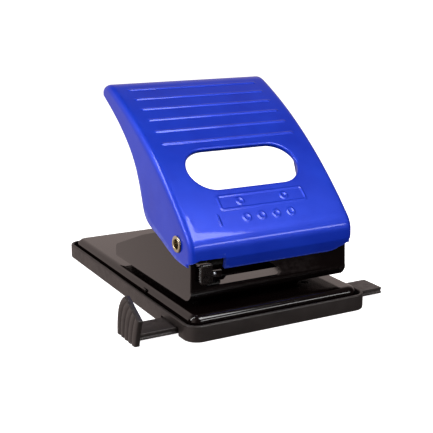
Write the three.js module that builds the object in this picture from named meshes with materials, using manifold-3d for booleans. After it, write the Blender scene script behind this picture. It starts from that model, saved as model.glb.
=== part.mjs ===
// Two-hole desk punch: a plastic chip tray with a sliding paper rail, a pressed steel base and frame,
// and a sheet steel lever that drives two punch pins.
// Millimetres. +X right along the hinge line, +Y towards the back, +Z up.
// The origin is the middle of the tray's underside.
import * as THREE from 'three';
import { mergeVertices } from 'three/addons/utils/BufferGeometryUtils.js';
import Module from 'manifold-3d';

const wasm = await Module();
wasm.setup();

// ---------- driving dimensions ----------
const ROUND = 20;                 // sides of a round piece
const GAP = 0.3;                  // air between pieces that touch

const holePitch = 80;             // distance between the two punched holes
const pinY = -59;                 // line of the punch pins
const pinRadius = 2.75;

const pivotY = -72;               // lever hinge line
const pivotZ = 51;

const tray = { halfX: 61.5, halfY: 98.3, height: 10, corner: 9, wall: 2, floor: 1.6 };
const channel = { front: -83.5, back: -61.2, top: 5.5, roof: 1.5, keeperX: 35, keeperWidth: 8 };
const rail = { front: -81, back: -63, bottom: 1, top: 5, left: -88, right: 85 };
const stop = { outer: -90, inner: -86.6, bottom: 0.3, rear: -61.5, shoulder: 6, tipY: -74.1, tipZ: 26.1 };

const base = { halfX: 57.5, halfY: 93.8, bottom: 8, top: 13.8, corner: 7, edge: 4.5, sheet: 1.5 };
const lug = { out: 0.9, front: -32, back: -27.5, bottom: 9, top: 12.2 };
const die = { radius: 5, depth: 3.3 };
const spacer = { halfX: 45, front: -47, back: 20 };

const frame = {
  halfX: 53.3, front: -84, back: 25.8, bottom: 18.2, sheet: 2, bend: 8, wallTop: 40, bossRadius: 10,
};
const rivetX = 38;                // frame rivets, either side of the centre
const rivetRows = [-35, 12];
const rivet = { shank: 2.5, head: 4.5, hole: 2.9, headHeight: 1.4 };

const bracket = {
  halfX: 43.2, front: -65, back: -53, top: 38, sheet: 2, legX: 32, foot: 8, apronLow: 22.6, apronHigh: 24.6,
};
const bush = { radius: 4.2, flange: 5.5, flangeHeight: 1 };
const pin = { top: 49.4, tip: 19, headRadius: 3.3, headHeight: 2.5 };
const clip = { radius: 4.3, top: 35.6, thickness: 1.2 };
const spring = { radius: 3.75, wire: 0.35, turns: 4 };

// The lever is an arched sheet that grows wider towards the back. Distances along the arch are
// measured from where the rolled back edge meets it.
const handle = { halfX: 55.4, splay: 0.00032, front: -88, sheet: 1.2, bend: 3.6 };
const arch = { y: 147.2, z: -162.7, radius: 319.6, start: 113.9, end: 135.8 };
const opening = { x: -0.7, at: 80.9, length: 75, width: 31 };
const ribs = { count: 6, first: 3, pitch: 11, length: 92, width: 2.4, proud: 0.5 };
const bar = { radius: 3, y: -59, z: 53, halfX: 47, webHalfX: 42, webSheet: 2, foot: 9, bend: 104 };
const eyelet = { bore: 2.9, shank: 4.4, hole: 4.7, flange: 5, flangeHeight: 0.8, rolled: 0.3 };

const lock = {
  knobLeft: -50, knobRight: -42, knobBottom: 30, knobTop: 42, knobFront: -90, knobBack: -86.1,
  armRight: -34.5, armBottom: 32.5, armTop: 36.5, armFront: -85.8,
  stemLeft: -43.5, stemRight: -41, runLeft: -50.7, runRight: -47.7, runBottom: 37, runTop: 40,
  plateFront: -81.7, plateBack: -80.2, runBack: -56, fingerFront: -63, fingerBottom: 47.6, fingerTop: 49.6,
  pinX: -39.4, pinZ: 34.5,
};

// ---------- materials ----------
const paint = (color, roughness, metalness) => (
  new THREE.MeshStandardMaterial({ color, roughness, metalness, flatShading: true })
);
const bluePaint = () => paint('#2238c4', 0.25, 0.2);
const blackPaint = () => paint('#0c0a0a', 0.15, 0.2);
const blackPlastic = () => paint('#3a3635', 0.55, 0);
const brightSteel = () => paint('#b9bcc0', 0.3, 1);
const toolSteel = () => paint('#8a8d92', 0.35, 1);
const nickel = () => paint('#d6cdb4', 0.3, 1);

// ---------- solids ----------
// A closed geometry as a solid: shared corners merged, slivers at the poles dropped.
function solid(geometry) {
  const bare = geometry.clone();
  bare.deleteAttribute('normal');
  bare.deleteAttribute('uv');
  const merged = mergeVertices(bare, 1e-4);
  const index = merged.index.array;
  const triangles = [];
  for (let i = 0; i < index.length; i += 3) {
    const [a, b, c] = [index[i], index[i + 1], index[i + 2]];
    if (a !== b && b !== c && c !== a) triangles.push(a, b, c);
  }
  return new wasm.Manifold(new wasm.Mesh({
    numProp: 3,
    vertProperties: new Float32Array(merged.attributes.position.array),
    triVerts: new Uint32Array(triangles),
  }));
}

function join(...solids) {
  return solids.reduce((whole, piece) => whole.add(piece));
}

function cut(body, ...tools) {
  return tools.reduce((left, tool) => left.subtract(tool), body);
}

const group = new THREE.Group();

function place(name, body, material) {
  const mesh = body.getMesh();
  const corners = new Float32Array((mesh.vertProperties.length / mesh.numProp) * 3);
  for (let i = 0; i < corners.length / 3; i += 1) {
    for (let k = 0; k < 3; k += 1) corners[3 * i + k] = mesh.vertProperties[i * mesh.numProp + k];
  }
  const geometry = new THREE.BufferGeometry();
  geometry.setAttribute('position', new THREE.BufferAttribute(corners, 3));
  geometry.setIndex(new THREE.BufferAttribute(new Uint32Array(mesh.triVerts), 1));
  geometry.computeVertexNormals();
  const part = new THREE.Mesh(geometry, material);
  part.name = name;
  group.add(part);
}

// Prisms: an outline drawn in two axes of the punch and carried along the third.
const alongX = new THREE.Matrix4().set(0, 0, 1, 0, 1, 0, 0, 0, 0, 1, 0, 0, 0, 0, 0, 1);
const alongY = new THREE.Matrix4().set(1, 0, 0, 0, 0, 0, -1, 0, 0, 1, 0, 0, 0, 0, 0, 1);

function prism(shape, length, options = {}) {
  return new THREE.ExtrudeGeometry(shape, {
    depth: length, bevelEnabled: false, curveSegments: 6, ...options,
  });
}

function prismX(shape, from, to) {
  return solid(prism(shape, to - from).applyMatrix4(alongX).translate(from, 0, 0));
}

function prismY(shape, from, to) {
  return solid(prism(shape, to - from).applyMatrix4(alongY).translate(0, to, 0));
}

function prismZ(shape, from, to) {
  return solid(prism(shape, to - from).translate(0, 0, from));
}

function block(x0, x1, y0, y1, z0, z1) {
  const box = new THREE.BoxGeometry(x1 - x0, y1 - y0, z1 - z0);
  return solid(box.translate((x0 + x1) / 2, (y0 + y1) / 2, (z0 + z1) / 2));
}

// Upright round pieces: [radius, height] pairs turned about a vertical axis at x, y.
function turned(profile, x, y) {
  const points = profile.map(([radius, z]) => new THREE.Vector2(radius, z));
  return solid(new THREE.LatheGeometry(points, ROUND).rotateX(Math.PI / 2).translate(x, y, 0));
}

function rod(radius, x, y, z0, z1) {
  return turned([[0, z0], [radius, z0], [radius, z1], [0, z1]], x, y);
}

function rodX(radius, y, z, x0, x1) {
  const cylinder = new THREE.CylinderGeometry(radius, radius, x1 - x0, ROUND).rotateZ(Math.PI / 2);
  return solid(cylinder.translate((x0 + x1) / 2, y, z));
}

function outline(points) {
  return new THREE.Shape(points.map(([u, v]) => new THREE.Vector2(u, v)));
}

function roundedRect(halfU, halfV, radius) {
  const shape = new THREE.Shape();
  const [u, v] = [halfU - radius, halfV - radius];
  shape.absarc(u, -v, radius, -Math.PI / 2, 0);
  shape.absarc(u, v, radius, 0, Math.PI / 2);
  shape.absarc(-u, v, radius, Math.PI / 2, Math.PI);
  shape.absarc(-u, -v, radius, Math.PI, 1.5 * Math.PI);
  return shape;
}

// The same polyline moved sideways by a distance, to its left when the distance is positive.
function offset(points, distance) {
  return points.map((point, i) => {
    const before = points[Math.max(i - 1, 0)];
    const after = points[Math.min(i + 1, points.length - 1)];
    const along = after.clone().sub(before).normalize();
    return new THREE.Vector2(point.x - along.y * distance, point.y + along.x * distance);
  });
}

// ---------- chip tray and rail ----------
function chipTray() {
  const shell = cut(
    prismZ(roundedRect(tray.halfX, tray.halfY, tray.corner), 0, tray.height),
    prismZ(roundedRect(tray.halfX - tray.wall, tray.halfY - tray.wall, tray.corner - tray.wall),
      tray.floor, tray.height + 1),
  );
  const inner = tray.halfX - tray.wall / 2;
  const roof = block(-inner, inner, channel.front - channel.roof, channel.back + channel.roof,
    tray.floor / 2, channel.top + channel.roof);
  const slot = block(-tray.halfX - 1, tray.halfX + 1, channel.front, channel.back, -1, channel.top);
  const keepers = [-1, 1].map((side) => block(
    side * channel.keeperX - channel.keeperWidth / 2, side * channel.keeperX + channel.keeperWidth / 2,
    channel.front - 1, channel.back + 1, 0, rail.bottom - GAP,
  ));
  return join(cut(join(shell, roof), slot), ...keepers);
}

// The stop is a fan-shaped plate: arched at the back up to the tip, slanted down to the front corner,
// and leaning forwards along its front edge.
function paperRail() {
  const fan = new THREE.Shape();
  fan.moveTo(stop.rear, stop.bottom);
  fan.lineTo(stop.rear, stop.shoulder);
  fan.quadraticCurveTo(-63.3, 20.4, stop.tipY, stop.tipZ);
  fan.lineTo(-92.2, 16.9);
  fan.quadraticCurveTo(-88.4, 8, -86.9, stop.bottom);
  return join(
    block(rail.left, rail.right, rail.front, rail.back, rail.bottom, rail.top),
    prismX(fan, stop.outer, stop.inner),
  );
}

// ---------- base ----------
function pan(inset) {
  const reach = 30;
  const round = base.edge - inset;
  const shape = roundedRect(base.halfX - inset, base.halfY - inset, base.corner - inset);
  const body = prism(shape, reach, {
    bevelEnabled: true, bevelSize: round, bevelThickness: round, bevelOffset: -round, bevelSegments: 3,
  });
  return solid(body.translate(0, 0, base.top - inset - round - reach));
}

function basePlate() {
  const below = block(-100, 100, -120, 120, -60, base.bottom);
  const lugs = [-1, 1].map((side) => block(
    side * base.halfX - lug.out, side * base.halfX + lug.out, lug.front, lug.back, lug.bottom, lug.top,
  ));
  const rivetHoles = rivetPlaces().map(([x, y]) => rod(rivet.hole, x, y, 0, 20));
  const dieHoles = sides(([x]) => rod(die.radius + GAP, x, pinY, 0, 20));
  const skin = cut(pan(0), pan(base.sheet), below);
  return cut(join(skin, ...lugs), ...rivetHoles, ...dieHoles);
}

function sides(make) {
  return [[-holePitch / 2, 'left'], [holePitch / 2, 'right']].map(make);
}

function rivetPlaces() {
  return [-rivetX, rivetX].flatMap((x) => rivetRows.map((y) => [x, y]));
}

function ring(outer, inner, x, y, z0, z1) {
  return cut(rod(outer, x, y, z0, z1), rod(inner, x, y, z0 - 1, z1 + 1));
}

function spacerPlate() {
  const plate = block(
    -spacer.halfX, spacer.halfX, spacer.front, spacer.back, base.top + GAP, frame.bottom - GAP,
  );
  return cut(plate, ...rivetPlaces().map(([x, y]) => rod(rivet.hole, x, y, 0, 30)));
}

function frameRivet(x, y) {
  const under = base.top - base.sheet - GAP;
  const over = frame.bottom + frame.sheet + GAP;
  return turned([
    [0, under - rivet.headHeight], [rivet.head - 1, under - rivet.headHeight], [rivet.head, under],
    [rivet.shank, under], [rivet.shank, over], [rivet.head, over],
    [rivet.head - 1, over + rivet.headHeight], [0, over + rivet.headHeight],
  ], x, y);
}

// ---------- frame ----------
const pinBore = pinRadius + GAP;

// One cheek seen from the side: sloping back edge, boss round the hinge, upright front edge.
function cheekOutline() {
  const shape = new THREE.Shape();
  shape.moveTo(frame.back, frame.bottom);
  shape.lineTo(frame.back, 23.5);
  shape.quadraticCurveTo(25.6, 26, 22.6, 27.1);
  shape.lineTo(-18.1, 42.9);
  shape.lineTo(-40, 50);
  shape.lineTo(-60, 59.5);
  shape.absarc(pivotY, pivotZ, frame.bossRadius, Math.PI / 4, Math.PI);
  shape.lineTo(frame.front, 44);
  shape.lineTo(frame.front, frame.bottom + frame.bend);
  shape.absarc(frame.front + frame.bend, frame.bottom + frame.bend, frame.bend, Math.PI, 1.5 * Math.PI);
  return shape;
}

function punchFrame() {
  const inside = new THREE.Shape();
  const wall = frame.front + frame.sheet;
  const floor = frame.bottom + frame.sheet;
  const bend = frame.bend - frame.sheet;
  inside.moveTo(60, 90);
  inside.lineTo(wall, 90);
  inside.lineTo(wall, floor + bend);
  inside.absarc(wall + bend, floor + bend, bend, Math.PI, 1.5 * Math.PI);
  inside.lineTo(60, floor);
  const halfInside = frame.halfX - frame.sheet;
  const cutOut = outline([
    [-44, 26.5], [4.7, 26.5], [6.7, 28.5], [6.7, 30], [-2.5, 36.1], [-2.5, 45], [-44, 45],
  ]);
  return cut(
    prismX(cheekOutline(), -frame.halfX, frame.halfX),
    prismX(inside, -halfInside, halfInside),
    block(-halfInside, halfInside, frame.front - 5, wall + 0.5, frame.wallTop, 90),
    prismY(cutOut, frame.front - 5, wall + 0.5),
    rodX(eyelet.hole, pivotY, pivotZ, -70, 70),
    ...rivetPlaces().map(([x, y]) => rod(rivet.hole, x, y, 0, 30)),
    ...sides(([x]) => rod(bush.radius + GAP, x, pinY, 0, 30)),
  );
}

// ---------- punch mechanism ----------
// A hat-shaped bracket on the frame's floor whose top plate guides the pins, with an apron across its
// front whose lower edge steps up on the lock's side.
function guideBracket() {
  const low = frame.bottom + frame.sheet + GAP;
  const { halfX, legX, foot, top, sheet } = bracket;
  const hat = outline([
    [-halfX, top], [-halfX, top - sheet], [-legX - sheet / 2, top - sheet], [-legX - sheet / 2, low],
    [-legX + foot, low], [-legX + foot, low + sheet], [-legX + sheet / 2, low + sheet],
    [-legX + sheet / 2, top - sheet], [legX - sheet / 2, top - sheet], [legX - sheet / 2, low + sheet],
    [legX - foot, low + sheet], [legX - foot, low], [legX + sheet / 2, low],
    [legX + sheet / 2, top - sheet], [halfX, top - sheet], [halfX, top],
  ]);
  const apron = outline([
    [-legX, top - 1], [-legX, bracket.apronLow], [-22, bracket.apronLow], [-20, bracket.apronHigh],
    [legX, bracket.apronHigh], [legX, top - 1],
  ]);
  const body = join(
    prismY(hat, bracket.front, bracket.back),
    prismY(apron, bracket.front, bracket.front + sheet),
  );
  return cut(body, ...sides(([x]) => rod(pinBore, x, pinY, 30, 50)));
}

function guideBush(x) {
  const low = frame.bottom + 0.2;
  const seat = frame.bottom + frame.sheet + GAP;
  const body = join(
    rod(bush.radius, x, pinY, low, seat + 0.1),
    rod(bush.flange, x, pinY, seat, seat + bush.flangeHeight),
  );
  return cut(body, rod(pinBore, x, pinY, 0, 60));
}

// The pin's lower end is hollow ground, so that it cuts at its rim.
function punchPin(x) {
  const neck = pin.top - pin.headHeight;
  return turned([
    [0, pin.tip + 1.2], [pinRadius - 0.35, pin.tip], [pinRadius, pin.tip], [pinRadius, neck],
    [pin.headRadius, neck], [pin.headRadius, pin.top - 0.5], [pin.headRadius - 0.5, pin.top], [0, pin.top],
  ], x, pinY);
}

function pinClip(x) {
  const low = clip.top - clip.thickness;
  return cut(
    ring(clip.radius, pinBore, x, pinY, low, clip.top),
    block(x - 1, x + 1, pinY, pinY + 10, low - 1, clip.top + 1),
  );
}

function pinSpring(x) {
  const low = frame.bottom + frame.sheet + 2 * GAP + bush.flangeHeight + spring.wire;
  const high = clip.top - clip.thickness - GAP - spring.wire;
  const steps = 11;
  const points = [];
  for (let i = 0; i <= spring.turns * steps; i += 1) {
    const share = i / (spring.turns * steps);
    const angle = share * spring.turns * 2 * Math.PI;
    points.push(new THREE.Vector3(
      x + spring.radius * Math.cos(angle), pinY + spring.radius * Math.sin(angle), low + share * (high - low),
    ));
  }
  const wire = new THREE.Shape();
  wire.absarc(0, 0, spring.wire, 0, 2 * Math.PI);
  return solid(new THREE.ExtrudeGeometry(wire, {
    steps: points.length - 1, curveSegments: 5, bevelEnabled: false,
    extrudePath: new THREE.CatmullRomCurve3(points),
  }));
}

// ---------- lever ----------
// A point of the arch, with the slope of the sheet there.
function onArch(distance, depth = 0) {
  const angle = THREE.MathUtils.degToRad(arch.start) + distance / arch.radius;
  const radius = arch.radius - depth;
  return {
    y: arch.y + radius * Math.cos(angle), z: arch.z + radius * Math.sin(angle), slope: angle - Math.PI / 2,
  };
}

// The lever's upper face seen from the side, from the rolled back edge over the arch to the front lip.
function leverProfile() {
  const path = new THREE.Path();
  path.moveTo(32.4, 126);
  path.quadraticCurveTo(32.2, 129.9, 27, 131);
  path.quadraticCurveTo(23.2, 132, 18, 129.6);
  const angles = [arch.start, arch.end].map(THREE.MathUtils.degToRad);
  path.absarc(arch.y, arch.z, arch.radius, ...angles, false);
  path.quadraticCurveTo(-87.6, 54.4, -88, 49);
  path.lineTo(-88.1, 44);
  path.lineTo(-86.3, 37);
  const pieces = { LineCurve: 1, QuadraticBezierCurve: 4, EllipseCurve: 14 };
  const points = path.curves.flatMap((curve) => curve.getPoints(pieces[curve.type]));
  return points.filter((point, i) => i === 0 || point.distanceTo(points[i - 1]) > 0.2);
}

// The lower edge of the lever's side walls, from the back corner to the front.
function leverSideEdge() {
  const edge = new THREE.Path();
  edge.moveTo(32.4, 126);
  edge.bezierCurveTo(13.5, 115.5, -8.5, 101.5, -18.2, 84.4);
  edge.bezierCurveTo(-23, 75.4, -24.8, 68.4, -27.3, 61.8);
  edge.bezierCurveTo(-29.8, 55.4, -35, 53.4, -42, 51.3);
  edge.bezierCurveTo(-53.5, 48, -61.2, 43.2, -71, 41.1);
  edge.quadraticCurveTo(-77, 40.1, -85.5, 40);
  return edge.getPoints(6);
}

// The walls lean outwards a little towards the back.
function splayed(geometry) {
  const places = geometry.attributes.position;
  for (let i = 0; i < places.count; i += 1) {
    places.setX(i, places.getX(i) * (1 + handle.splay * (places.getY(i) - handle.front)));
  }
  return geometry;
}

function leverBlock(inset, ends) {
  const round = handle.bend - inset;
  const profile = offset(leverProfile(), inset);
  const width = 2 * (handle.halfX - handle.bend);
  const body = prism(new THREE.Shape([...profile, ...ends]), width, {
    bevelEnabled: true, bevelSize: round, bevelThickness: round, bevelOffset: -round, bevelSegments: 2,
  });
  return solid(splayed(body.applyMatrix4(alongX).translate(-width / 2, 0, 0)));
}

function lever() {
  const corner = (y, z) => new THREE.Vector2(y, z);
  const outer = leverBlock(0, [corner(-70, 10), corner(32.4, 10)]);
  const inner = leverBlock(handle.sheet, [corner(-84.6, 0), corner(60, 0), corner(60, 118)]);
  const keep = new THREE.Shape([
    ...leverSideEdge(), corner(-84.5, 36.5), corner(-100, 36.5), corner(-100, 150),
    corner(60, 150), corner(60, 126),
  ]);
  const sheet = cut(outer, inner).intersect(prismX(keep, -80, 80));
  const ribBars = Array.from({ length: ribs.count }, (_, i) => {
    const { y, z, slope } = onArch(ribs.first + i * ribs.pitch);
    const body = new THREE.BoxGeometry(ribs.length, ribs.width, 2 * ribs.proud);
    return solid(body.rotateX(slope).translate(0, y, z));
  });
  const middle = onArch(opening.at);
  const hole = roundedRect(opening.length / 2, opening.width / 2, opening.width / 2 - 0.01);
  const openingTool = solid(prism(hole, 40).translate(opening.x, 0, -20)
    .rotateX(middle.slope).translate(0, middle.y, middle.z));
  const lockNotch = outline([[-58, 34], [-33, 34], [-33, 44], [-50, 44.4], [-58, 40.5]]);
  const frontCorner = outline([[42, 34], [58, 34], [58, 48.5], [55.4, 46], [51, 40.5], [46.7, 39], [42, 37]]);
  return cut(
    join(sheet, ...ribBars),
    openingTool,
    prismY(lockNotch, -95, -84.5),
    prismY(frontCorner, -95, -84.5),
    rodX(eyelet.hole, pivotY, pivotZ, -70, 70),
  );
}

// A round bar on a bent web welded under the lever ahead of its opening, which pushes the pins down.
function pressureBar() {
  const under = handle.sheet + GAP;
  const [bend, toe] = [bar.bend, bar.bend + bar.foot].map((at) => onArch(at, under));
  const [bendIn, toeIn] = [bar.bend, bar.bend + bar.foot].map((at) => onArch(at, under + bar.webSheet));
  const half = bar.webSheet / 2;
  const web = outline([
    [bar.y + half, bar.z], [bend.y + half, bend.z], [bend.y, bend.z], [toe.y, toe.z],
    [toeIn.y, toeIn.z], [bendIn.y - half, bendIn.z - half], [bar.y - half, bar.z],
  ]);
  return join(
    rodX(bar.radius, bar.y, bar.z, -bar.halfX, bar.halfX),
    prismX(web, -bar.webHalfX, bar.webHalfX),
  );
}

// Hollow rivet through one lever wall and one cheek, with a rolled flange at each end.
function pivotEyelet(side) {
  const inside = frame.halfX - frame.sheet - GAP;
  const outside = handle.halfX * (1 + handle.splay * (pivotY - handle.front)) + 2 * GAP;
  const [innerFace, outerFace] = [inside - eyelet.flangeHeight, outside + eyelet.flangeHeight];
  const points = [
    [eyelet.bore, innerFace], [eyelet.flange, innerFace], [eyelet.flange, inside],
    [eyelet.shank, inside], [eyelet.shank, outside], [eyelet.flange, outside],
    [eyelet.flange, outerFace - eyelet.rolled], [eyelet.flange - 0.5, outerFace],
    [eyelet.bore, outerFace], [eyelet.bore, innerFace],
  ].map(([radius, x]) => new THREE.Vector2(radius, x));
  const turnedX = new THREE.LatheGeometry(points, 24).rotateZ(-side * Math.PI / 2);
  return solid(turnedX.translate(0, pivotY, pivotZ));
}

// ---------- lever lock ----------
// A steel slider: a tongue outside the front wall, a stem through the opening, an arm that runs back
// along the cheek, and a finger that traps the lowered pressure bar when the slider is pushed right.
function lockSlider() {
  const l = lock;
  return join(
    block(l.knobLeft + 1, l.armRight, l.armFront, frame.front - GAP, l.armBottom, l.armTop),
    block(l.stemLeft, l.stemRight, frame.front - 1, l.plateFront + 0.5, l.armBottom, l.armTop),
    block(l.runLeft, l.stemRight, l.plateFront, l.plateBack, l.armBottom, l.runTop),
    block(l.runLeft, l.runRight, l.plateFront, l.runBack, l.runBottom, l.runTop),
    block(l.runLeft, l.runRight, l.runBack - 1.5, l.runBack, l.runBottom, l.fingerTop),
    block(l.runLeft, l.runRight, l.fingerFront, l.runBack, l.fingerBottom, l.fingerTop),
  );
}

function lockKnob() {
  const halfU = (lock.knobRight - lock.knobLeft) / 2;
  const halfV = (lock.knobTop - lock.knobBottom) / 2;
  const round = 1;
  const body = prism(roundedRect(halfU, halfV, 1.6), lock.knobBack - lock.knobFront - 2 * round, {
    bevelEnabled: true, bevelSize: round, bevelThickness: round, bevelOffset: -round, bevelSegments: 1,
  });
  return solid(body.applyMatrix4(alongY).translate(
    lock.knobLeft + halfU, lock.knobBack - round, lock.knobBottom + halfV,
  ));
}

function lockRivet() {
  const head = new THREE.CylinderGeometry(1, 1.5, 0.8, 14).rotateX(Math.PI);
  return solid(head.translate(lock.pinX, lock.armFront - GAP - 0.4, lock.pinZ));
}

// ---------- assembly ----------
place('chip_tray', chipTray(), blackPlastic());
place('paper_rail', paperRail(), blackPlastic());
place('base_plate', basePlate(), blackPaint());
place('spacer_plate', spacerPlate(), blackPaint());
place('frame', punchFrame(), blackPaint());
place('guide_bracket', guideBracket(), blackPaint());
rivetPlaces().forEach(([x, y], i) => place(`frame_rivet_${i + 1}`, frameRivet(x, y), brightSteel()));
sides(([x, side]) => {
  place(`die_${side}`, ring(die.radius, pinBore, x, pinY, base.top - die.depth, base.top), toolSteel());
  place(`guide_bush_${side}`, guideBush(x), toolSteel());
  place(`punch_pin_${side}`, punchPin(x), toolSteel());
  place(`pin_clip_${side}`, pinClip(x), brightSteel());
  place(`pin_spring_${side}`, pinSpring(x), brightSteel());
});
place('handle', lever(), bluePaint());
place('pressure_bar', pressureBar(), blackPaint());
place('pivot_eyelet_left', pivotEyelet(-1), nickel());
place('pivot_eyelet_right', pivotEyelet(1), nickel());
place('lock_slider', lockSlider(), blackPaint());
place('lock_knob', lockKnob(), blackPlastic());
place('lock_rivet', lockRivet(), brightSteel());

export default group;
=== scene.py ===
from math import cos, hypot, pi, radians, sin

import bmesh
import bpy
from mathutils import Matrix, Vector


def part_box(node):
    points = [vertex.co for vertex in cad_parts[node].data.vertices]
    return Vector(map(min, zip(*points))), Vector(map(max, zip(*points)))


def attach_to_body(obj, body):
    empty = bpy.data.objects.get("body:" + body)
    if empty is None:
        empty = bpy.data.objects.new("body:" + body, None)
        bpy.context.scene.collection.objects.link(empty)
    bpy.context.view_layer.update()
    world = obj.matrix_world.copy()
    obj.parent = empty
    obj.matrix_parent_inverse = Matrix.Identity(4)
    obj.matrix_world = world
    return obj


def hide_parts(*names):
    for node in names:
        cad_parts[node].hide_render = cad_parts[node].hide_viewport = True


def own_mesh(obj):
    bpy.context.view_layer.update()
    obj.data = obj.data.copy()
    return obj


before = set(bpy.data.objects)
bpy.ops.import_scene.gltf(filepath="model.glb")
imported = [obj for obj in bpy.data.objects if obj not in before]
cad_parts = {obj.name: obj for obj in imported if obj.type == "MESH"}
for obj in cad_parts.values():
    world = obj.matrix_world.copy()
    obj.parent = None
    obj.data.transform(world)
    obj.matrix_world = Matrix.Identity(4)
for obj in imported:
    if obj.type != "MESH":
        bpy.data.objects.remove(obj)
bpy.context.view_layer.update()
mm = 0.001  # shapes below are drawn in millimetres
rivetNodes = [f"frame_rivet_{number}" for number in range(1, 5)]
print("frame loaded:", len(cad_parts), "nodes")


# colours and nodes

def fromHex(code):
    # sRGB hex to the linear numbers that shaders use
    values = [int(code[i:i + 2], 16) / 255 for i in (1, 3, 5)]
    linear = [v / 12.92 if v <= 0.04045 else ((v + 0.055) / 1.055) ** 2.4 for v in values]
    return (*linear, 1.0)


def addNode(tree, kind, values=None, **settings):
    # a node with its settings, and its inputs either linked or filled in
    node = tree.nodes.new(kind)
    for name, setting in settings.items():
        setattr(node, name, setting)
    for socket, value in (values or {}).items():
        if isinstance(value, bpy.types.NodeSocket):
            tree.links.new(value, node.inputs[socket])
        else:
            node.inputs[socket].default_value = value
    return node


def calc(tree, operation, *numbers):
    # one sum on number sockets, or on fixed numbers
    return addNode(tree, "ShaderNodeMath", dict(enumerate(numbers)), operation=operation).outputs["Value"]


def startMaterial(name, sockets):
    # a new material with those numbers and colours on its shader
    material = bpy.data.materials.new(name)
    material.use_nodes = True
    tree = material.node_tree
    shader = tree.nodes["Principled BSDF"]
    for socket, value in sockets.items():
        shader.inputs[socket].default_value = value
    return material, tree, shader


def blotches(tree, where, size, low, high, detail=3.0, stretch=(1, 1, 1)):
    # soft noise of that size in millimetres, spread over low to high
    place = addNode(tree, "ShaderNodeMapping", {"Vector": where, "Scale": stretch})
    noise = addNode(tree, "ShaderNodeTexNoise", {
        "Vector": place.outputs["Vector"], "Scale": 1 / (size * mm), "Detail": detail, "Roughness": 0.55,
    })
    return addNode(tree, "ShaderNodeMapRange", {
        "Value": noise.outputs["Fac"], "From Min": 0.3, "From Max": 0.7, "To Min": low, "To Max": high,
    }).outputs["Result"]


def twoTone(tree, share, first, second):
    mix = addNode(tree, "ShaderNodeMix", {0: share, 6: fromHex(first), 7: fromHex(second)}, data_type="RGBA")
    return mix.outputs[2]


def raiseSurface(tree, shader, height, depth):
    # depth in millimetres
    bump = addNode(tree, "ShaderNodeBump", {"Height": height, "Strength": 1.0, "Distance": depth * mm})
    tree.links.new(bump.outputs["Normal"], shader.inputs["Normal"])
    if shader.inputs["Coat Weight"].default_value > 0:
        tree.links.new(bump.outputs["Normal"], shader.inputs["Coat Normal"])


def edgeWear(tree, where, threshold, size):
    # 0 on the faces, up to 1 in patches along outer edges
    edges = addNode(tree, "ShaderNodeNewGeometry").outputs["Pointiness"]
    sharp = addNode(tree, "ShaderNodeMapRange", {
        "Value": edges, "From Min": threshold, "From Max": threshold + 0.06,
    }).outputs["Result"]
    patches = blotches(tree, where, size, 0.0, 1.0)
    return calc(tree, "MULTIPLY", sharp, patches)


# each finish has two close tones in blotches, roughness in patches and a fine relief, sizes in millimetres
finishes = {
    # stoving enamel on steel: deep blue with a wet gloss, faint orange peel, paler on rubbed edges
    "blueEnamel": {
        "shader": {
            "Metallic": 0.3, "IOR": 1.45, "Coat Weight": 0.55, "Coat Roughness": 0.06, "Coat IOR": 1.5,
        },
        "dark": "#0c33c6", "light": "#143fd6", "blotch": 34,
        "rubbed": "#4f68e0", "wearFrom": 0.56, "wearPatch": 2.4,
        "roughness": (0.36, 0.44), "patch": 9, "relief": 1.8, "detail": 1.0, "depth": 0.005,
    },
    # dipped black enamel: near-black mirror with a slow ripple, greyer where edges rub
    "blackEnamel": {
        "shader": {"IOR": 1.5, "Coat Weight": 0.35, "Coat Roughness": 0.04, "Coat IOR": 1.5},
        "dark": "#070303", "light": "#0b0606", "blotch": 22,
        "rubbed": "#241f1f", "wearFrom": 0.6, "wearPatch": 1.8,
        "roughness": (0.1, 0.14), "patch": 26, "relief": 3.2, "detail": 1.0, "depth": 0.002,
    },
    # spark-eroded ABS moulding: charcoal, satin, with a grain drawn at 0.5 mm so that it shows
    "mouldedAbs": {
        "shader": {"IOR": 1.53},
        "dark": "#262221", "light": "#302b2a", "blotch": 17,
        "rubbed": "#4d4746", "wearFrom": 0.56, "wearPatch": 2.0,
        "roughness": (0.36, 0.48), "patch": 5, "relief": 0.5, "detail": 2.0, "depth": 0.03,
    },
    # polished ABS: the studs of the knurl catch small bright points
    "knurledAbs": {
        "shader": {"IOR": 1.53},
        "dark": "#0d0a09", "light": "#1a1514", "blotch": 3,
        "roughness": (0.2, 0.34), "patch": 2, "relief": 0.4, "depth": 0.01,
    },
    # zinc plate on rolled sheet: bright, bluish, with rolling streaks along X
    "zincPlate": {
        "shader": {"Metallic": 1.0}, "dark": "#a9adb2", "light": "#c8cbd0", "blotch": 6.4,
        "roughness": (0.22, 0.38), "patch": 0.8, "relief": 0.8, "stretch": (0.06, 1, 1), "depth": 0.006,
    },
    # drawn spring wire: darker, slightly oily
    "springWire": {
        "shader": {"Metallic": 1.0}, "dark": "#85878b", "light": "#a3a5a9", "blotch": 4.8,
        "roughness": (0.24, 0.34), "patch": 0.6, "relief": 0.6, "depth": 0.004,
    },
    # ground tool steel: fine rings round the axis
    "toolSteel": {
        "shader": {"Metallic": 1.0}, "dark": "#7d8085", "light": "#989ba0", "blotch": 4.0,
        "roughness": (0.2, 0.34), "patch": 0.5, "relief": 0.5, "stretch": (0.1, 0.1, 1), "depth": 0.004,
    },
    # nickel plate over brass: warm cream, a little tarnished
    "nickelPlate": {
        "shader": {"Metallic": 1.0}, "dark": "#cdbf98", "light": "#e8dfc6", "blotch": 9.6,
        "roughness": (0.18, 0.32), "patch": 1.2, "relief": 1.2, "depth": 0.004,
    },
}


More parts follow.
